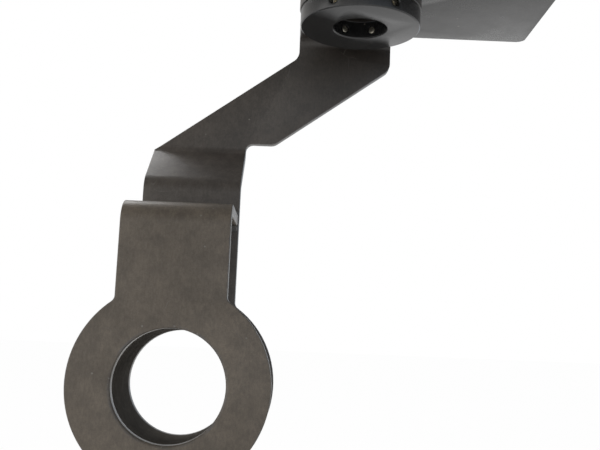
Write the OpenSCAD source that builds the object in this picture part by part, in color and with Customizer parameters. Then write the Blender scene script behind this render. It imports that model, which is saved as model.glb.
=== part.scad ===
// Lock bracket for a trailer coupling: a double ring eye, a dog-leg sheet arm and
// a top plate with a clamp collar under it. Origin at the middle of the eye's bore.
// +X right, +Y to the rear, +Z up.

/* [Eye] */
// Outer diameter of both eye rings
eye_od = 136; // [126:1:146]
// Bore through the eye
eye_bore = 76; // [68:1:82]
// Depth over the front and rear rings
eye_depth = 74; // [62:1:86]
// Chamfer at both mouths of the bore
eye_chamfer = 1.1; // [0.5:0.1:2]
// Outer diameter of the tube between the rings
barrel_od = 100; // [96:1:108]

/* [Sheet] */
// Thickness of the sheet steel
sheet = 8; // [6:0.5:9]
// Inner radius of every bend
bend_r = 8; // [6:0.5:10]
// Fillet between neck and ring
shoulder_r = 5; // [3:0.5:8]
// Rounding of the arm's outline corners
outline_r = 10; // [6:0.5:12]

/* [Hood] */
// Width of the front plate's neck and hood
hood_w = 75; // [68:1:78]
// Height of the hood's top above the eye's axis
hood_top = 125; // [118:1:132]
// Sideways offset of the hood from the eye's axis
hood_shift = -1.5; // [-3:0.5:3]

/* [Arm] */
// Width of the arm's upper end
arm_w = 75; // [68:1:82]
// Width of the arm's neck above the rear ring
neck_w = 73.5; // [68:0.5:78]
// Height where the joggle starts
joggle_start = 142.5; // [138:0.5:146]
// How far the joggle sets the sheet back
joggle_offset = 39; // [34:0.5:44]
// Lean of the joggle from the vertical
joggle_angle = 50; // [44:1:54]
// Sideways step from the lower to the upper end
arm_shift = 114.5; // [106:0.5:122]
// Slope of the diagonal from the horizontal
arm_slope = 36; // [33:0.5:39]
// Height of the free edge beside the joggle
notch_z = 190.5; // [188:0.5:196]
// Radius of the notch's inner corner
notch_r = 6; // [4:0.5:8]
// Length of the free edge from the neck's side to the diagonal
notch_w = 23; // [20:0.5:28]
// Height where the diagonal's left edge starts
diagonal_z = 182.2; // [178:0.1:184]
// Height of the flange's underside
flange_z = 281; // [274:1:290]

/* [Collar] */
// Outer diameter of the clamp collar
collar_od = 90; // [84:1:96]
// Diameter of the flange's round head over the collar
head_od = 91.5; // [84:0.5:98]
// Bore of the collar and the flange
collar_bore = 40; // [34:1:44]
// Height of the clamp collar
collar_h = 13; // [12:0.5:16]
// Distance from the arm's front face to the collar's axis
collar_reach = 60; // [58:1:68]
// Chamfer on the collar's outer edges
collar_edge = 0.8; // [0.4:0.1:1.2]
// Chamfer at the mouth of the collar's bore
bore_edge = 0.8; // [0.4:0.1:1.2]

/* [Plate] */
// Thickness of the top plate
plate_t = 8; // [6:0.5:10]
// Width of the top plate
plate_w = 187; // [150:1:210]
// Reach of the top plate in front of the collar's axis
plate_front = 68; // [56:1:80]
// Corner radius of the top plate
plate_r = 7; // [4:1:20]

/* [Set screws] */
// Number of set screws round the collar
set_count = 6; // [6]
// Thread diameter of a set screw
set_d = 6; // [5:0.5:7]
// Length of a set screw
set_l = 20; // [16:1:20]
// Depth of the set screw's tip behind the bore's wall
set_back = 0.5; // [0.2:0.1:2]
// Key size of the set screws
set_key = 3; // [2.5:0.5:3]
// Depth of a set screw's key socket
set_key_depth = 3.5; // [2.5:0.5:4.5]
// Bevel at the mouth of each set screw hole
set_mouth = 0.8; // [0.4:0.1:1.2]

/* [Collar screws] */
// Number of countersunk screws through plate and flange
cap_count = 3; // [3]
// Thread diameter of a countersunk screw
cap_d = 8; // [6:1:8]
// Depth of its thread in the collar
cap_grip = 9; // [7:0.5:9.5]
// Diameter of its head
cap_head = 16; // [15:0.5:18]
// Key size of the countersunk screws
cap_key = 5; // [4:0.5:6]
// Depth of the key socket in a countersunk head
cap_key_depth = 3; // [2:0.5:3.5]

/* [Welds] */
// Leg of the fillet welds
weld_leg = 5; // [4:0.5:6]

/* [Hidden] */

$fn = 96;
cut = 1;                  // how far a cutter runs past the face it cuts
lap = 2;                  // how far the bent strip runs into the flat pieces beside it
thread_clear = 0.05;      // radial play of a screw in its thread
hole_clear = 0.5;         // radial play of a screw in a through hole
weld_clear = 0.05;        // play between a weld ring and the tube inside it
tip_taper = 0.8;          // bevel at a set screw's tip and end
tap_run = 1;              // thread hole past a countersunk screw's end
head_sink = 0.3;          // depth of a screw head below the plate's top

// Planes across the eye, from front to rear
front_y = -eye_depth / 2;
rear_y = eye_depth / 2;
arm_low_y = rear_y - sheet;
arm_up_y = arm_low_y + joggle_offset;

hood_left = hood_shift - hood_w / 2;
hood_right = hood_shift + hood_w / 2;
weld_left = max(hood_left, -neck_w / 2);
weld_right = min(hood_right, neck_w / 2);

// Joggle: an outer bend, a straight ramp and an inner bend
bend_out = bend_r + sheet;
ramp_y = joggle_offset - (bend_out + bend_r) * (1 - cos(joggle_angle));
ramp_z = ramp_y / tan(joggle_angle);
joggle_end = joggle_start + (bend_out + bend_r) * sin(joggle_angle) + ramp_z;

// Upper end of the arm and the collar's axis
up_left = arm_shift - arm_w / 2;
up_right = arm_shift + arm_w / 2;
collar_x = up_left + collar_od / 2;
collar_y = arm_up_y - collar_reach;
collar_z = flange_z - collar_h;
plate_z = flange_z + sheet;
plate_top = plate_z + plate_t;
plate_rear = arm_up_y + sheet;
bend_y = arm_up_y - bend_r;
bend_z = flange_z - bend_r;

// Countersunk screws sit on a circle between bore and rim
cap_circle = (collar_bore + collar_od) / 4;
cap_first = 90;
set_z = collar_z + collar_h / 2;
set_tip = collar_bore / 2 + set_back;

colour_paint = [0.13, 0.125, 0.115];
colour_collar = [0.2, 0.2, 0.2];
colour_weld = [0.16, 0.155, 0.15];
colour_steel = [0.6, 0.58, 0.52];

// Points along an arc, for outlines
function arc(c, r, a0, a1, n = 12) =
  [for (i = [0 : n]) c + r * [cos(a0 + (a1 - a0) * i / n), sin(a0 + (a1 - a0) * i / n)]];

// Extrudes an outline drawn in X and Z through a stretch of Y
module through_y(y0, y1) {
  translate([0, y1, 0]) rotate([90, 0, 0]) linear_extrude(y1 - y0) children();
}

// Extrudes an outline drawn in Y and Z through a stretch of X
module through_x(x0, x1) {
  translate([x0, 0, 0]) rotate([90, 0, 90]) linear_extrude(x1 - x0) children();
}

// Ring and neck of an eye plate between two planes, with a fillet at each shoulder
module eye_plate(y0, width, shift, top) {
  left = shift - width / 2 - shoulder_r;
  right = shift + width / 2 + shoulder_r;
  span = eye_od / 2 + shoulder_r;
  left_z = sqrt(span * span - left * left);
  right_z = sqrt(span * span - right * right);
  translate([0, y0, 0]) rotate([-90, 0, 0]) cylinder(d = eye_od, h = sheet);
  through_y(y0, y0 + sheet) polygon(concat(
    [[left + shoulder_r, top], [left + shoulder_r, left_z]],
    arc([left, left_z], shoulder_r, 0, -atan2(left_z, -left)),
    arc([right, right_z], shoulder_r, 180 + atan2(right_z, right), 180),
    [[right - shoulder_r, top]]
  ));
}

// Bore of the eye with the chamfer at one mouth, from the mouth inwards
module eye_bore_cutter(depth) {
  translate([0, 0, -cut]) cylinder(d = eye_bore, h = depth + 2 * cut);
  translate([0, 0, -cut])
    cylinder(d1 = eye_bore + 2 * (eye_chamfer + cut), d2 = eye_bore, h = eye_chamfer + cut);
}

module at_front_mouth() {
  translate([0, front_y, 0]) rotate([-90, 0, 0]) children();
}

module at_rear_mouth() {
  translate([0, rear_y, 0]) rotate([90, 0, 0]) children();
}

module weld_ring() {
  inner = barrel_od / 2 + weld_clear;
  rotate_extrude() polygon([[inner, 0], [inner + weld_leg, 0], [inner, weld_leg]]);
}

// Point at an angle and a distance from a bend's centre, in the side view
function at_bend(centre, r, a) = centre + r * [cos(a), sin(a)];

// Outer corner of a bend before it is rounded
function bend_corner(centre, a0, a1) = at_bend(centre, bend_out / cos((a1 - a0) / 2), (a0 + a1) / 2);

// Rounds one bend of a strip: clears its inner radius and what stands outside its outer one
module bend_cut(x0, x1, centre, a0, a1) {
  reach = 2 * bend_out;
  translate([x0 - cut, centre[0], centre[1]]) rotate([90, 0, 90]) cylinder(r = bend_r, h = x1 - x0 + 2 * cut);
  difference() {
    through_x(x0 - cut, x1 + cut) polygon([
      centre, at_bend(centre, reach, a0), at_bend(centre, 2 * reach, (a0 + a1) / 2), at_bend(centre, reach, a1)
    ]);
    translate([x0 - 2 * cut, centre[0], centre[1]]) rotate([90, 0, 90])
      cylinder(r = bend_out, h = x1 - x0 + 4 * cut);
  }
}

// Full-width strip of the arm, from below the joggle to past the top bend
module arm_strip(x0, x1) {
  low = [arm_low_y + bend_out, joggle_start];
  high = [arm_up_y - bend_r, joggle_end];
  top = [bend_y, bend_z];
  difference() {
    through_x(x0, x1) polygon([
      [arm_low_y, joggle_start - lap], bend_corner(low, 180 - joggle_angle, 180),
      at_bend(high, bend_r, -joggle_angle), high, at_bend(high, bend_r, 0),
      at_bend(top, bend_r, 0), top, at_bend(top, bend_r, 90), [bend_y - lap, flange_z],
      [bend_y - lap, plate_z], bend_corner(top, 0, 90), bend_corner(high, -joggle_angle, 0),
      at_bend(low, bend_r, 180 - joggle_angle), low, at_bend(low, bend_r, 180),
      [rear_y, joggle_start - lap]
    ]);
    bend_cut(x0, x1, low, 180 - joggle_angle, 180);
    bend_cut(x0, x1, high, -joggle_angle, 0);
    bend_cut(x0, x1, top, 0, 90);
  }
}

// Front view of the arm above the eye
module arm_outline() {
  half = neck_w / 2;
  rise = tan(arm_slope);
  half_turn = (90 - arm_slope) / 2;
  knee_run = outline_r * tan(arm_slope / 2);
  bend_run = outline_r * tan(half_turn);
  left_knee_z = diagonal_z + (up_left + half) * rise;
  knee_x = half + notch_w;
  right_knee_z = notch_z + (up_right - knee_x) * rise;
  polygon(concat(
    [[-half, joggle_start - lap], [-half, diagonal_z]],
    arc([up_left - outline_r, left_knee_z + bend_run], outline_r, arm_slope - 90, 0),
    [[up_left, plate_z + cut], [up_right, plate_z + cut]],
    arc([up_right - outline_r, right_knee_z + bend_run], outline_r, 0, arm_slope - 90),
    arc([knee_x - knee_run, notch_z + outline_r], outline_r, arm_slope - 90, -90),
    arc([half + notch_r, notch_z - notch_r], notch_r, 90, 180),
    [[half, joggle_start - lap]]
  ));
}

// Flange: a strip from the bend and a round head over the collar
module flange() {
  translate([up_left, collar_y, flange_z]) cube([arm_w, bend_y - collar_y, sheet]);
  translate([collar_x, collar_y, flange_z]) cylinder(d = head_od, h = sheet);
}

module at_collar(z) {
  translate([collar_x, collar_y, z]) children();
}

module on_cap_circle(z) {
  for (i = [0 : cap_count - 1])
    at_collar(z) rotate(cap_first + i * 360 / cap_count) translate([cap_circle, 0, 0]) children();
}

// Puts a screw drawn along +X from the collar's axis into its radial hole
module on_set_hole(i) {
  at_collar(set_z) rotate((i - 1) * 360 / set_count) rotate([0, 90, 0]) children();
}

module arm_bracket() {
  color(colour_paint) difference() {
    union() {
      eye_plate(arm_low_y, neck_w, 0, joggle_start);
      intersection() {
        arm_strip(-neck_w / 2 - cut, up_right + cut);
        through_y(arm_low_y - cut, plate_rear + cut) arm_outline();
      }
      flange();
    }
    at_rear_mouth() eye_bore_cutter(sheet);
    at_collar(flange_z - cut) cylinder(d = collar_bore, h = sheet + 2 * cut);
    on_cap_circle(flange_z - cut) cylinder(r = cap_d / 2 + hole_clear, h = sheet + 2 * cut);
  }
}

module front_plate() {
  fold = [front_y + bend_out, hood_top - bend_out];
  color(colour_paint) difference() {
    union() {
      eye_plate(front_y, hood_w, hood_shift, fold[1]);
      difference() {
        through_x(hood_left, hood_right) polygon([
          [front_y, fold[1] - lap], bend_corner(fold, 90, 180), [arm_low_y, hood_top],
          [arm_low_y, hood_top - sheet], at_bend(fold, bend_r, 90), fold, at_bend(fold, bend_r, 180),
          [front_y + sheet, fold[1] - lap]
        ]);
        bend_cut(hood_left, hood_right, fold, 90, 180);
      }
    }
    at_front_mouth() eye_bore_cutter(sheet);
  }
}

module eye_barrel() {
  color(colour_paint) difference() {
    translate([0, front_y + sheet, 0]) rotate([-90, 0, 0])
      cylinder(d = barrel_od, h = arm_low_y - front_y - sheet);
    translate([0, front_y, 0]) rotate([-90, 0, 0]) cylinder(d = eye_bore, h = eye_depth);
  }
}

module barrel_weld_front() {
  color(colour_weld) translate([0, front_y + sheet, 0]) rotate([-90, 0, 0]) weld_ring();
}

module barrel_weld_rear() {
  color(colour_weld) translate([0, arm_low_y, 0]) rotate([90, 0, 0]) weld_ring();
}

// One bead on top of the hood and one under it, along the arm's face
module hood_weld() {
  color(colour_weld) through_x(weld_left, weld_right) {
    polygon([[arm_low_y, hood_top], [arm_low_y, hood_top + weld_leg], [arm_low_y - weld_leg, hood_top]]);
    translate([arm_low_y, hood_top - sheet]) polygon([[0, 0], [-weld_leg, 0], [0, -weld_leg]]);
  }
}

// Rectangle with round corners, from its near left corner
module rounded_slab(size, r) {
  translate([r, 0, 0]) cube([size[0] - 2 * r, size[1], size[2]]);
  translate([0, r, 0]) cube([size[0], size[1] - 2 * r, size[2]]);
  for (x = [r, size[0] - r], y = [r, size[1] - r]) translate([x, y, 0]) cylinder(r = r, h = size[2]);
}

module top_plate() {
  near_y = collar_y - plate_front;
  hole_r = cap_d / 2 + hole_clear;
  head_r = cap_head / 2 + hole_clear;
  sink_z = plate_t - head_sink;
  color(colour_paint) difference() {
    translate([up_left, near_y, plate_z]) rounded_slab([plate_w, plate_rear - near_y, plate_t], plate_r);
    on_cap_circle(plate_z) rotate_extrude() polygon([
      [0, -cut], [hole_r, -cut], [hole_r, sink_z - (head_r - hole_r)], [head_r, sink_z],
      [head_r, plate_t + cut], [0, plate_t + cut]
    ]);
  }
}

module clamp_collar() {
  outer = collar_od / 2;
  inner = collar_bore / 2;
  color(colour_collar) difference() {
    at_collar(collar_z) rotate_extrude() polygon([
      [inner, bore_edge], [inner + bore_edge, 0], [outer - collar_edge, 0], [outer, collar_edge],
      [outer, collar_h - collar_edge], [outer - collar_edge, collar_h], [inner, collar_h]
    ]);
    for (i = [1 : set_count]) on_set_hole(i) {
      cylinder(r = set_d / 2 + thread_clear, h = outer + cut);
      translate([0, 0, outer - set_mouth])
        cylinder(r1 = set_d / 2, r2 = set_d / 2 + set_mouth + cut, h = set_mouth + cut);
    }
    on_cap_circle(flange_z - cap_grip - tap_run)
      cylinder(r = cap_d / 2 + thread_clear, h = cap_grip + tap_run + cut);
  }
}

module collar_screws() {
  head_top = plate_top - head_sink;
  head_h = (cap_head - cap_d) / 2;
  shank = head_top - flange_z + cap_grip;
  color(colour_steel) difference() {
    on_cap_circle(head_top - shank) {
      cylinder(d = cap_d, h = shank);
      translate([0, 0, shank - head_h]) cylinder(d1 = cap_d, d2 = cap_head, h = head_h);
    }
    on_cap_circle(head_top - cap_key_depth)
      cylinder(d = cap_key / cos(30), h = cap_key_depth + cut, $fn = 6);
  }
}

module set_screw(i) {
  color(colour_steel) on_set_hole(i) translate([0, 0, set_tip]) difference() {
    rotate_extrude() polygon([
      [0, 0], [set_d / 2 - tip_taper, 0], [set_d / 2, tip_taper],
      [set_d / 2, set_l - tip_taper / 2], [set_d / 2 - tip_taper / 2, set_l], [0, set_l]
    ]);
    translate([0, 0, set_l - set_key_depth]) cylinder(d = set_key / cos(30), h = set_key_depth + cut, $fn = 6);
  }
}

arm_bracket();
front_plate();
eye_barrel();
barrel_weld_front();
barrel_weld_rear();
hood_weld();
top_plate();
clamp_collar();
collar_screws();
set_screw(1);  // set_screw_1
set_screw(2);  // set_screw_2
set_screw(3);  // set_screw_3
set_screw(4);  // set_screw_4
set_screw(5);  // set_screw_5
set_screw(6);  // set_screw_6
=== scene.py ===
import math

import bmesh
import bpy
from bpy.props import FloatProperty, FloatVectorProperty, PointerProperty
from mathutils import Matrix, Vector


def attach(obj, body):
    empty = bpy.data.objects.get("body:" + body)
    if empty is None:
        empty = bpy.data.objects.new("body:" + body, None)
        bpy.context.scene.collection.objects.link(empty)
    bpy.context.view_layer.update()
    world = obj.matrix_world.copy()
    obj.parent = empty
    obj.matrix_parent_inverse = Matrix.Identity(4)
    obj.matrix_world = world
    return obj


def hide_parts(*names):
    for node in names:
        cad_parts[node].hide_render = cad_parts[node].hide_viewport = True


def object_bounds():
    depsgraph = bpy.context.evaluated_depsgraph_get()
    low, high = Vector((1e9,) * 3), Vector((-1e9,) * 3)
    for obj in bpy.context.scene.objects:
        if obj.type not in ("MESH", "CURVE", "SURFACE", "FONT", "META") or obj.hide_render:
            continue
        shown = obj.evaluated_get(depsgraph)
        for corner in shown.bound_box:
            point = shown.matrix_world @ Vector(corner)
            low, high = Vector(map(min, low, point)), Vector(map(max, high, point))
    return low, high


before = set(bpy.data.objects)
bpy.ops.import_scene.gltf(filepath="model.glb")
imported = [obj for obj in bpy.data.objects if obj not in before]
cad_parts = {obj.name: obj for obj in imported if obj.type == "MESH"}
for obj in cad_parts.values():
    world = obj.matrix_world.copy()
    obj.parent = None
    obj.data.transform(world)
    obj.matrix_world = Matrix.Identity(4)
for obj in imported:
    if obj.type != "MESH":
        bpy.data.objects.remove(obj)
CAD_BOX = [list(corner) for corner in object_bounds()]

bl_info = {
    "name": "Trailer Coupler Lock",
    "version": (1, 0, 0),
    "blender": (4, 5, 0),
    "location": "3D View > Sidebar > Coupler Lock",
    "description": "Builds the lock's pieces over its CAD frame, with finishes and a studio",
    "category": "Object",
}

BODY = "bracket"
SCREW_COUNT = 6

# Meshes: the CAD nodes come as loose triangles, so a copy is merged and its flat faces are joined
MERGE_DISTANCE = 2e-6
FLAT_ANGLE = math.radians(0.2)
SHARP_ANGLE = math.radians(30)
SMOOTH_ANGLE = math.radians(35)

# Colours that show through the paint, and a bluish sheen painted on rounded edges
# Rounded edges in patches: partly scuffed paint, partly a painted sheen of bluish light
RUBBED_PAINT_AND_SHEEN = (0.085, 0.097, 0.115, 1.0)
BARE_STEEL = (0.30, 0.29, 0.27, 1.0)
SPECK = (0.23, 0.21, 0.18, 1.0)
SCRATCH = (0.22, 0.2, 0.18, 1.0)
# Painted glint for the screws' rounded edges
SCREW_EDGE_GLINT = (0.80, 0.77, 0.66, 1.0)
SHADE_START, SHADE_END = 0.16, 0.42  # X + Z, between which a painted shade darkens the arm towards the top plate

# Camera, in front of the part and below its top plate, looking up at it
CAMERA_PLACE = Vector((0.0785, -0.5991, 0.0296))
CAMERA_FORWARD = Vector((0.0070, 0.9898, 0.1423))
CAMERA_RIGHT = Vector((0.9991, -0.0128, 0.0398))
CAMERA_LENS = 50.52
SENSOR_WIDTH = 36.0

# Stage
FLOOR_SIZE = 30.0
FLOOR_COLOUR = (0.86, 0.86, 0.85, 1.0)
FLOOR_WHITE = 0.985  # share of plain white that camera, glossy and transmission rays see
WHITE = (1, 1, 1, 1)


# Selecting and shaping, as by hand

def deselect_all():
    if bpy.context.object and bpy.context.object.mode != "OBJECT":
        bpy.ops.object.mode_set(mode="OBJECT")
    bpy.ops.object.select_all(action="DESELECT")


def activate(piece):
    deselect_all()
    piece.select_set(True)
    bpy.context.view_layer.objects.active = piece


def edit(piece):
    activate(piece)
    bpy.ops.object.mode_set(mode="EDIT")
    bpy.ops.mesh.select_mode(type="VERT")


def leave_edit():
    bpy.ops.object.mode_set(mode="OBJECT")


def mark_selected_faces(piece, name):
    """Writes 1 on the selected faces' corners to the named attribute, and 0 on the others."""
    mesh = bmesh.from_edit_mesh(piece.data)
    layer = mesh.loops.layers.float.get(name) or mesh.loops.layers.float.new(name)
    for face in mesh.faces:
        if face.select:
            for loop in face.loops:
                loop[layer] = 1.0
    bmesh.update_edit_mesh(piece.data)


def finish_piece(piece, name, material, replaces, body=BODY):
    """Names the piece, gives it its finish and its body, and puts it in the nodes' place."""
    piece.name = name
    piece.data.name = name
    activate(piece)
    bpy.ops.object.shade_smooth_by_angle(angle=SMOOTH_ANGLE)
    piece.data.materials.clear()
    piece.data.materials.append(material)
    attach(piece, body)
    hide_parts(*replaces)


def rounded_from_frame(node, edge_round, segments=3):
    """A copy of a node's solid with its sharp edges rounded, and the rounded faces marked."""
    activate(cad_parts[node])
    bpy.ops.object.duplicate()
    piece = bpy.context.object
    # The copy is a piece of the scene: it keeps neither the node's tags nor its parent
    for key in list(piece.keys()):
        del piece[key]
    piece.parent = None
    edit(piece)
    bpy.ops.mesh.select_all(action="SELECT")
    bpy.ops.mesh.remove_doubles(threshold=MERGE_DISTANCE)
    bpy.ops.mesh.dissolve_limited(angle_limit=FLAT_ANGLE)
    bpy.ops.mesh.select_mode(type="EDGE")
    bpy.ops.mesh.select_all(action="DESELECT")
    bpy.ops.mesh.edges_select_sharp(sharpness=SHARP_ANGLE)
    bpy.ops.mesh.bevel(offset=edge_round, segments=segments, profile=0.5, clamp_overlap=True)
    mark_selected_faces(piece, "edge")
    leave_edit()
    return piece


# Shader nodes

class NodeBench:
    """Adds nodes to one tree and links them by socket names."""

    def __init__(self, tree):
        self.tree = tree
        self.column = 0

    def add(self, kind, settings=None, **inputs):
        node = self.tree.nodes.new(kind)
        node.location = (self.column * 180, -(self.column % 5) * 120)
        self.column += 1
        for key, value in (settings or {}).items():
            setattr(node, key, value)
        for key, value in inputs.items():
            self.put(node, key, value)
        return node

    def put(self, node, key, value):
        """Fills a socket, named as Base_Color for "Base Color" or by its number as i0."""
        number = key[1:]
        if key[0] == "i" and number.isdigit():
            socket = node.inputs[int(number)]
        else:
            socket = node.inputs[key.replace("_", " ")]
        if isinstance(value, bpy.types.NodeSocket):
            self.tree.links.new(value, socket)
        else:
            socket.default_value = value

    def math(self, operation, a, b=0.0, clamp=False):
        node = self.add("ShaderNodeMath", {"operation": operation, "use_clamp": clamp}, i0=a, i1=b)
        return node.outputs[0]

    def mix(self, factor, a, b, blend="MIX"):
        node = self.add("ShaderNodeMix", {"data_type": "RGBA", "blend_type": blend},
                        i0=factor, i6=a, i7=b)
        return node.outputs[2]

    def ramp(self, value, low, high, out_low=0.0, out_high=1.0):
        node = self.add("ShaderNodeMapRange", {"interpolation_type": "SMOOTHSTEP"},
                        i0=value, i1=low, i2=high, i3=out_low, i4=out_high)
        return node.outputs[0]


def new_group(name, inputs, outputs):
    """A node group with named sockets: inputs as (name, type, default), outputs as (name, type)."""
    group = bpy.data.node_groups.new(name, "ShaderNodeTree")
    for label, kind, default in inputs:
        socket = group.interface.new_socket(name=label, in_out="INPUT", socket_type=kind)
        socket.default_value = default
    for label, kind in outputs:
        group.interface.new_socket(name=label, in_out="OUTPUT", socket_type=kind)
    bench = NodeBench(group)
    source = bench.add("NodeGroupInput")
    sink = bench.add("NodeGroupOutput")
    return group, bench, source, sink


def grain_group():
    """Rolled sheet under thin paint: clouds, short streaks and fine grain."""
    group, bench, source, sink = new_group(
        "Rolled Sheet Grain",
        [("Vector", "NodeSocketVector", (0, 0, 0)), ("Cloud Scale", "NodeSocketFloat", 14.0),
         ("Streak Scale", "NodeSocketFloat", 1.0)],
        [("Clouds", "NodeSocketFloat"), ("Streaks", "NodeSocketFloat"),
         ("Grain", "NodeSocketFloat")],
    )
    vector = source.outputs["Vector"]
    clouds = bench.add("ShaderNodeTexNoise", Vector=vector, Scale=source.outputs["Cloud Scale"],
                       Detail=5.0, Roughness=0.62)
    stretch = bench.add("ShaderNodeVectorMath", {"operation": "MULTIPLY"},
                        i0=vector, i1=(620.0, 620.0, 260.0))
    scaled = bench.add("ShaderNodeVectorMath", {"operation": "SCALE"},
                       i0=stretch.outputs[0], Scale=source.outputs["Streak Scale"])
    streaks = bench.add("ShaderNodeTexNoise", Vector=scaled.outputs[0],
                        Scale=1.0, Detail=3.0, Roughness=0.6)
    grain = bench.add("ShaderNodeTexNoise", Vector=vector, Scale=1300.0, Detail=3.0, Roughness=0.7)
    bench.put(sink, "Clouds", bench.ramp(clouds.outputs["Fac"], 0.3, 0.7))
    bench.put(sink, "Streaks", streaks.outputs["Fac"])
    bench.put(sink, "Grain", grain.outputs["Fac"])
    return group


def wear_and_sheen_group():
    """Scuffed paint with a painted bluish sheen, and bare metal, on rounded edges, from the piece's
    edge attribute.
    """
    group, bench, source, sink = new_group(
        "Edge Wear And Sheen",
        [("Vector", "NodeSocketVector", (0, 0, 0)), ("Edge", "NodeSocketFloat", 0.0),
         ("Amount", "NodeSocketFloat", 0.5)],
        [("Rubbed", "NodeSocketFloat"), ("Bare", "NodeSocketFloat")],
    )
    vector = source.outputs["Vector"]
    broad = bench.add("ShaderNodeTexNoise", Vector=vector, Scale=55.0, Detail=4.0, Roughness=0.65)
    chips = bench.add("ShaderNodeTexNoise", Vector=vector, Scale=420.0, Detail=3.0, Roughness=0.6)
    # These patches are partly scuffed paint and partly a painted bluish sheen
    scuff_and_sheen = bench.math("MULTIPLY", bench.ramp(broad.outputs["Fac"], 0.35, 0.75),
                      source.outputs["Amount"])
    bench.put(sink, "Rubbed", bench.math("MULTIPLY", scuff_and_sheen, source.outputs["Edge"], clamp=True))
    chipped = bench.math("MULTIPLY", bench.ramp(chips.outputs["Fac"], 0.62, 0.7),
                         source.outputs["Edge"])
    bench.put(sink, "Bare", bench.math("MULTIPLY", chipped, source.outputs["Amount"], clamp=True))
    return group


def dust_group():
    """Light specks and a few hair scratches on paint."""
    group, bench, source, sink = new_group(
        "Specks And Scratches",
        [("Vector", "NodeSocketVector", (0, 0, 0)), ("Speck Scale", "NodeSocketFloat", 260.0),
         ("Speck Share", "NodeSocketFloat", 0.1)],
        [("Specks", "NodeSocketFloat"), ("Scratches", "NodeSocketFloat")],
    )
    vector = source.outputs["Vector"]
    cells = bench.add("ShaderNodeTexVoronoi", {"feature": "F1"},
                      Vector=vector, Scale=source.outputs["Speck Scale"])
    chosen = bench.add("ShaderNodeSeparateColor", Color=cells.outputs["Color"])
    near = bench.ramp(cells.outputs["Distance"], 0.10, 0.24, 1.0, 0.0)
    few = bench.math("LESS_THAN", chosen.outputs[0], source.outputs["Speck Share"])
    bench.put(sink, "Specks", bench.math("MULTIPLY", near, few))
    warp = bench.add("ShaderNodeTexNoise", Vector=vector, Scale=30.0, Detail=2.0)
    bent = bench.mix(0.02, vector, warp.outputs["Color"])
    lines = bench.add("ShaderNodeTexVoronoi", {"feature": "DISTANCE_TO_EDGE"},
                      Vector=bent, Scale=24.0)
    thin = bench.ramp(lines.outputs["Distance"], 0.0, 0.004, 1.0, 0.0)
    patch = bench.add("ShaderNodeTexNoise", Vector=vector, Scale=38.0, Detail=2.0)
    patches = bench.ramp(patch.outputs["Fac"], 0.58, 0.66)
    bench.put(sink, "Scratches", bench.math("MULTIPLY", thin, patches))
    return group


GROUPS = {}


def group_node(bench, maker, **inputs):
    """A node of the group that maker builds, which is built once."""
    if maker.__name__ not in GROUPS:
        GROUPS[maker.__name__] = maker()
    node = bench.add("ShaderNodeGroup")
    node.node_tree = GROUPS[maker.__name__]
    for key, value in inputs.items():
        bench.put(node, key, value)
    return node


def start_material(name):
    material = bpy.data.materials.new(name)
    material.use_nodes = True
    material.node_tree.nodes.clear()
    bench = NodeBench(material.node_tree)
    coordinates = bench.add("ShaderNodeTexCoord")
    return material, bench, coordinates.outputs["Object"]


def end_material(bench, shader):
    bench.add("ShaderNodeOutputMaterial", Surface=shader.outputs[0])


def tint(colour, factor):
    return (colour[0] * factor, colour[1] * factor, colour[2] * factor, 1.0)


def paint_material(name, colour, roughness, cloud_depth=0.16, rubbed=0.5, painted_shade=0.0, ior=1.5):
    """Thin black paint on rolled sheet, with scuffed rounded edges that also carry a painted bluish
    sheen, specks and scratches, and, when asked for, a painted shade along X + Z.
    """
    material, bench, vector = start_material(name)
    grain = group_node(bench, grain_group, Vector=vector)
    dust = group_node(bench, dust_group, Vector=vector, Speck_Share=0.012)
    edge = bench.add("ShaderNodeAttribute", {"attribute_name": "edge"})
    wear_and_sheen = group_node(bench, wear_and_sheen_group, Vector=vector, Edge=edge.outputs["Fac"], Amount=rubbed)
    tone = bench.mix(grain.outputs["Clouds"],
                     tint(colour, 1.0 - cloud_depth), tint(colour, 1.0 + cloud_depth))
    fine = bench.math("ADD", grain.outputs["Streaks"], grain.outputs["Grain"])
    tone = bench.mix(1.0, tone, bench.ramp(fine, 0.7, 1.3, 0.84, 1.16), "MULTIPLY")
    blotch = bench.add("ShaderNodeTexNoise", Vector=vector, Scale=95.0, Detail=4.0, Roughness=0.7)
    blotches = bench.ramp(blotch.outputs["Fac"], 0.35, 0.65, 0.86, 1.14)
    tone = bench.mix(1.0, tone, blotches, "MULTIPLY")
    # Painted shade: the arm's colour darkens along X + Z towards the top plate, standing in for the
    # shade under it
    if painted_shade:
        axes = bench.add("ShaderNodeSeparateXYZ", Vector=vector)
        along = bench.math("ADD", axes.outputs["X"], axes.outputs["Z"])
        under_plate_shade = bench.ramp(along, SHADE_START, SHADE_END, 1.0 + painted_shade, 1.0 - painted_shade)
        tone = bench.mix(1.0, tone, under_plate_shade, "MULTIPLY")
    # Painted sheen: rounded edges take a blue-grey tint in patches, partly scuffed paint, partly
    # bluish light painted in
    tone = bench.mix(wear_and_sheen.outputs["Rubbed"], tone, RUBBED_PAINT_AND_SHEEN)
    tone = bench.mix(wear_and_sheen.outputs["Bare"], tone, BARE_STEEL)
    tone = bench.mix(dust.outputs["Specks"], tone, SPECK)
    tone = bench.mix(bench.math("MULTIPLY", dust.outputs["Scratches"], 0.5), tone, SCRATCH)
    rough = bench.ramp(grain.outputs["Clouds"], 0.0, 1.0, roughness + 0.06, roughness - 0.05)
    rough = bench.math("ADD", rough, bench.math("MULTIPLY", wear_and_sheen.outputs["Rubbed"], -0.08))
    height = bench.math("MULTIPLY", grain.outputs["Streaks"], 0.6)
    height = bench.math("ADD", grain.outputs["Grain"], height)
    bump = bench.add("ShaderNodeBump", Strength=0.12, Distance=0.0004, Height=height)
    shader = bench.add("ShaderNodeBsdfPrincipled",
                       Base_Color=tone, Roughness=rough, Normal=bump.outputs[0], IOR=ior)
    end_material(bench, shader)
    return material


MATERIALS = {}


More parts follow.
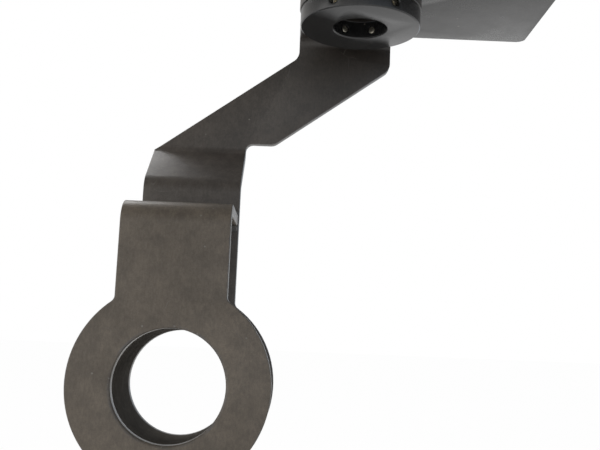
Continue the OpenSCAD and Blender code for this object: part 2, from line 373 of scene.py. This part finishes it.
def material_for(key):
    """The finish of that name, made when a piece first asks for it."""
    if key not in MATERIALS:
        finish = bpy.context.scene.lock_finish
        if key == "plate":
            made = paint_material("Front Plate Paint", finish.plate_colour, 0.38)
        elif key == "arm":
            made = paint_material("Arm Paint With Painted Shade", finish.arm_shaded_colour, 0.36, painted_shade=0.45)
        elif key == "deck":
            made = paint_material("Top Plate Paint", finish.deck_colour, 0.3,
                                  rubbed=0.3, cloud_depth=0.08)
        elif key == "bore":
            made = paint_material("Bore Paint", finish.bore_colour, 0.85, rubbed=0.8, ior=1.12)
        elif key == "weld":
            made = paint_material("Weld Paint", finish.bore_colour, 0.5)
        elif key == "collar":
            made = paint_material("Collar Black", finish.collar_colour, 0.2,
                                  rubbed=0.9, cloud_depth=0.08)
        elif key == "screw":
            made = screw_material("Plated Screw", finish.screw_colour)
        MATERIALS[key] = made
    return MATERIALS[key]


def screw_material(name, colour):
    """Plated steel, with a painted glint on its rounded edges."""
    material, bench, vector = start_material(name)
    grain = group_node(bench, grain_group, Vector=vector, Cloud_Scale=160.0)
    tone = bench.mix(grain.outputs["Clouds"], tint(colour, 0.7), tint(colour, 1.1))
    edge = bench.add("ShaderNodeAttribute", {"attribute_name": "edge"})
    # Painted glint: the rounded edges are mixed towards a near-white tint
    tone = bench.mix(bench.math("MULTIPLY", edge.outputs["Fac"], 0.6), tone, SCREW_EDGE_GLINT)
    rough = bench.ramp(grain.outputs["Grain"], 0.3, 0.7, 0.24, 0.4)
    bump = bench.add("ShaderNodeBump",
                     Strength=0.15, Distance=0.0002, Height=grain.outputs["Grain"])
    shader = bench.add("ShaderNodeBsdfPrincipled",
                       Base_Color=tone, Roughness=rough, Normal=bump.outputs[0], Metallic=1.0)
    end_material(bench, shader)
    return material


# Sizes and colours that a user would change

def metres(name, description, default, low=0.0, high=1.0):
    return FloatProperty(name=name, description=description, default=default, min=low, max=high,
                         unit="LENGTH", subtype="DISTANCE", precision=5)


def watts(name, description, default):
    return FloatProperty(name=name, description=description, default=default, min=0.0, unit="POWER")


def colour(name, description, default):
    return FloatVectorProperty(name=name, description=description, default=default,
                               size=3, min=0.0, max=1.0, subtype="COLOR")


class LockSizes(bpy.types.PropertyGroup):
    arm_round: metres("Arm edge", "Rounding of the arm sheet's cut edges",
                      0.0006, 0.0001, 0.003)
    front_round: metres("Front plate edge", "Rounding of the front plate's cut edges",
                        0.0018, 0.0001, 0.003)
    plate_round: metres("Top plate edge", "Rounding of the top plate's edges",
                        0.0010, 0.0001, 0.003)
    weld_round: metres("Weld softness", "Rounding of the weld beads", 0.0012, 0.0001, 0.002)
    screw_round: metres("Screw edge", "Rounding of the screws' edges",
                        0.00018, 0.00005, 0.0004)
    collar_round: metres("Collar edge", "Rounding of the collar's edges",
                         0.00025, 0.00005, 0.001)


class LockFinish(bpy.types.PropertyGroup):
    plate_colour: colour("Front plate", "Paint on the front plate", (0.152, 0.124, 0.094))
    # The arm's paint is written darker than the front plate's, as painted shade for the shade under
    # the top plate
    arm_shaded_colour: colour("Arm", "Paint on the arm", (0.064, 0.054, 0.045))
    deck_colour: colour("Top plate", "Paint on the top plate", (0.035, 0.034, 0.032))
    bore_colour: colour("Bore", "Paint in the eye's bore", (0.095, 0.082, 0.066))
    collar_colour: colour("Collar", "Black of the clamp collar", (0.022, 0.022, 0.022))
    screw_colour: colour("Screws", "Plating of the screws", (0.60, 0.54, 0.42))


class LockStage(bpy.types.PropertyGroup):
    floor_drop: metres("Floor drop", "Gap between the eye and the floor", 0.0005, 0.0, 0.1)
    key_power: watts("Key light", "Power of the soft light above and behind", 2.6)
    fill_power: watts("Fill light", "Power of the soft light on the left", 2.0)


# Operators

class LockOperator:
    bl_options = {"REGISTER", "UNDO"}


class LOCK_OT_arm(LockOperator, bpy.types.Operator):
    """Arm bracket: the rear ring, the joggle, the diagonal and the flange, with rounded edges"""
    bl_idname = "lock.arm"
    bl_label = "Arm Bracket"

    def execute(self, context):
        piece = rounded_from_frame("arm_bracket", context.scene.lock_sizes.arm_round)
        finish_piece(piece, "arm_sheet", material_for("arm"), replaces=["arm_bracket"])
        return {"FINISHED"}


class LOCK_OT_front_plate(LockOperator, bpy.types.Operator):
    """Front plate: the front ring, its neck and the folded hood"""
    bl_idname = "lock.front_plate"
    bl_label = "Front Plate"

    def execute(self, context):
        piece = rounded_from_frame("front_plate", context.scene.lock_sizes.front_round)
        finish_piece(piece, "front_sheet", material_for("plate"),
                     replaces=["front_plate"])
        return {"FINISHED"}


class LOCK_OT_top_plate(LockOperator, bpy.types.Operator):
    """Top plate with rounded edges"""
    bl_idname = "lock.top_plate"
    bl_label = "Top Plate"

    def execute(self, context):
        piece = rounded_from_frame("top_plate", context.scene.lock_sizes.plate_round)
        finish_piece(piece, "deck_plate", material_for("deck"), replaces=["top_plate"])
        return {"FINISHED"}


class LOCK_OT_collar(LockOperator, bpy.types.Operator):
    """Clamp collar with its radial holes"""
    bl_idname = "lock.collar"
    bl_label = "Clamp Collar"

    def execute(self, context):
        piece = rounded_from_frame("clamp_collar", context.scene.lock_sizes.collar_round, segments=2)
        finish_piece(piece, "collar_ring", material_for("collar"),
                     replaces=["clamp_collar"])
        return {"FINISHED"}


class LOCK_OT_plain_nodes(LockOperator, bpy.types.Operator):
    """Finish of the tube between the rings, whose solid stays as it is"""
    bl_idname = "lock.plain_nodes"
    bl_label = "Other Solids"

    def execute(self, context):
        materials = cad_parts["eye_barrel"].data.materials
        materials.clear()
        materials.append(material_for("bore"))
        return {"FINISHED"}


class LOCK_OT_welds(LockOperator, bpy.types.Operator):
    """Weld beads of the eye and the hood, with softened faces"""
    bl_idname = "lock.welds"
    bl_label = "Weld Beads"

    def execute(self, context):
        for node in ("barrel_weld_front", "barrel_weld_rear", "hood_weld"):
            piece = rounded_from_frame(node, context.scene.lock_sizes.weld_round)
            finish_piece(piece, node + "_bead", material_for("weld"), replaces=[node])
        return {"FINISHED"}


class LOCK_OT_screws(LockOperator, bpy.types.Operator):
    """Set screws in the collar and countersunk screws in the top plate"""
    bl_idname = "lock.screws"
    bl_label = "Screws"

    def execute(self, context):
        edge = context.scene.lock_sizes.screw_round
        piece = rounded_from_frame("collar_screws", edge, segments=2)
        finish_piece(piece, "countersunk_screws", material_for("screw"),
                     replaces=["collar_screws"])
        for number in range(1, SCREW_COUNT + 1):
            node = "set_screw_%d" % number
            piece = rounded_from_frame(node, edge, segments=2)
            finish_piece(piece, "grub_screw_%d" % number, material_for("screw"),
                         body="screw_%d" % number, replaces=[node])
        return {"FINISHED"}


def add_area(name, place, target, size, power):
    """A rectangular soft light at place, turned to target."""
    data = bpy.data.lights.new(name, "AREA")
    data.shape = "RECTANGLE"
    data.size, data.size_y = size
    data.energy = power
    lamp = bpy.data.objects.new(name, data)
    bpy.context.scene.collection.objects.link(lamp)
    lamp.location = place
    towards = Vector(target) - Vector(place)
    lamp.rotation_euler = towards.to_track_quat("-Z", "Y").to_euler()


def add_camera():
    data = bpy.data.cameras.new("Camera")
    data.sensor_width = SENSOR_WIDTH
    data.lens = CAMERA_LENS
    camera = bpy.data.objects.new("Camera", data)
    bpy.context.scene.collection.objects.link(camera)
    forward = CAMERA_FORWARD.normalized()
    right = (CAMERA_RIGHT - CAMERA_RIGHT.dot(forward) * forward).normalized()
    up = right.cross(forward)
    placed = Matrix((right, up, -forward)).transposed().to_4x4()
    placed.translation = CAMERA_PLACE
    camera.matrix_world = placed
    bpy.context.scene.camera = camera


def studio_world():
    """A graded room that lights the part, and plain white for the camera."""
    world = bpy.data.worlds.new("Studio")
    bpy.context.scene.world = world
    world.use_nodes = True
    world.node_tree.nodes.clear()
    bench = NodeBench(world.node_tree)
    rays = bench.add("ShaderNodeLightPath")
    direction = bench.add("ShaderNodeTexCoord")
    axes = bench.add("ShaderNodeSeparateXYZ", Vector=direction.outputs["Generated"])
    # Bright low down, dim overhead, slightly dimmer in front, and bluer at the right
    low = bench.ramp(axes.outputs["Z"], -0.1, 0.7, 1.35, 0.25)
    back = bench.ramp(axes.outputs["Y"], -0.9, 0.6, 0.95, 1.0)
    level = bench.math("MULTIPLY", low, back)
    side = bench.ramp(axes.outputs["X"], -0.7, 0.7)
    room = bench.mix(side, (1.0, 0.98, 0.95, 1.0), (0.62, 0.68, 0.76, 1.0))
    lit = bench.add("ShaderNodeBackground", Color=room, Strength=level)
    white = bench.add("ShaderNodeBackground", Color=WHITE, Strength=1.0)
    mixed = bench.add("ShaderNodeMixShader", i0=rays.outputs["Is Camera Ray"],
                      i1=lit.outputs[0], i2=white.outputs[0])
    bench.add("ShaderNodeOutputWorld", Surface=mixed.outputs[0])


def floor_material():
    """Pale matt floor that camera, glossy and transmission rays see as nearly plain white."""
    material = bpy.data.materials.new("Studio Floor")
    material.use_nodes = True
    material.node_tree.nodes.clear()
    bench = NodeBench(material.node_tree)
    rays = bench.add("ShaderNodeLightPath")
    seen = bench.math("MAXIMUM", rays.outputs["Is Camera Ray"], rays.outputs["Is Glossy Ray"])
    seen = bench.math("MAXIMUM", seen, rays.outputs["Is Transmission Ray"])
    matt = bench.add("ShaderNodeBsdfDiffuse", Color=FLOOR_COLOUR)
    white = bench.add("ShaderNodeEmission", Color=WHITE, Strength=1.0)
    mixed = bench.add("ShaderNodeMixShader", i0=bench.math("MULTIPLY", seen, FLOOR_WHITE),
                      i1=matt.outputs[0], i2=white.outputs[0])
    bench.add("ShaderNodeOutputMaterial", Surface=mixed.outputs[0])
    # Light sampling would count the white as none, and reflections of the floor would go dark
    material.cycles.emission_sampling = "NONE"
    return material


class LOCK_OT_stage(LockOperator, bpy.types.Operator):
    """Floor, lights, background and camera"""
    bl_idname = "lock.stage"
    bl_label = "Stage"

    def execute(self, context):
        stage = context.scene.lock_stage
        floor_z = CAD_BOX[0][2] - stage.floor_drop
        deselect_all()
        bpy.ops.mesh.primitive_plane_add(size=FLOOR_SIZE, location=(0.0, 0.0, floor_z))
        floor = context.object
        floor.name = "floor"
        floor.data.materials.append(floor_material())
        add_area("Key", (-0.45, 0.55, 1.0), (0.0, 0.0, 0.12), (0.5, 0.4), stage.key_power)
        add_area("Fill", (-1.0, -0.5, 0.3), (0.05, 0.0, 0.1), (0.8, 0.8), stage.fill_power)
        studio_world()
        add_camera()
        context.scene.view_settings.view_transform = "Standard"
        return {"FINISHED"}


class LOCK_PT_panel(bpy.types.Panel):
    """Lists the sizes, finishes and operators"""
    bl_label = "Coupler Lock"
    bl_idname = "LOCK_PT_panel"
    bl_space_type = "VIEW_3D"
    bl_region_type = "UI"
    bl_category = "Coupler Lock"

    def draw(self, context):
        scene = context.scene
        for group in (scene.lock_sizes, scene.lock_finish, scene.lock_stage):
            for key in group.__annotations__:
                self.layout.prop(group, key)
        for operator in OPERATORS:
            self.layout.operator(operator.bl_idname)


OPERATORS = (LOCK_OT_stage, LOCK_OT_arm, LOCK_OT_front_plate, LOCK_OT_top_plate,
             LOCK_OT_collar, LOCK_OT_welds, LOCK_OT_screws, LOCK_OT_plain_nodes)
CLASSES = (LockSizes, LockFinish, LockStage) + OPERATORS + (LOCK_PT_panel,)


def register():
    for cls in CLASSES:
        bpy.utils.register_class(cls)
    bpy.types.Scene.lock_sizes = PointerProperty(type=LockSizes)
    bpy.types.Scene.lock_finish = PointerProperty(type=LockFinish)
    bpy.types.Scene.lock_stage = PointerProperty(type=LockStage)


def unregister():
    del bpy.types.Scene.lock_stage
    del bpy.types.Scene.lock_finish
    del bpy.types.Scene.lock_sizes
    for cls in reversed(CLASSES):
        bpy.utils.unregister_class(cls)


def main():
    register()
    for operator in OPERATORS:
        area, name = operator.bl_idname.split(".")
        getattr(getattr(bpy.ops, area), name)()


if __name__ == "__main__":
    main()
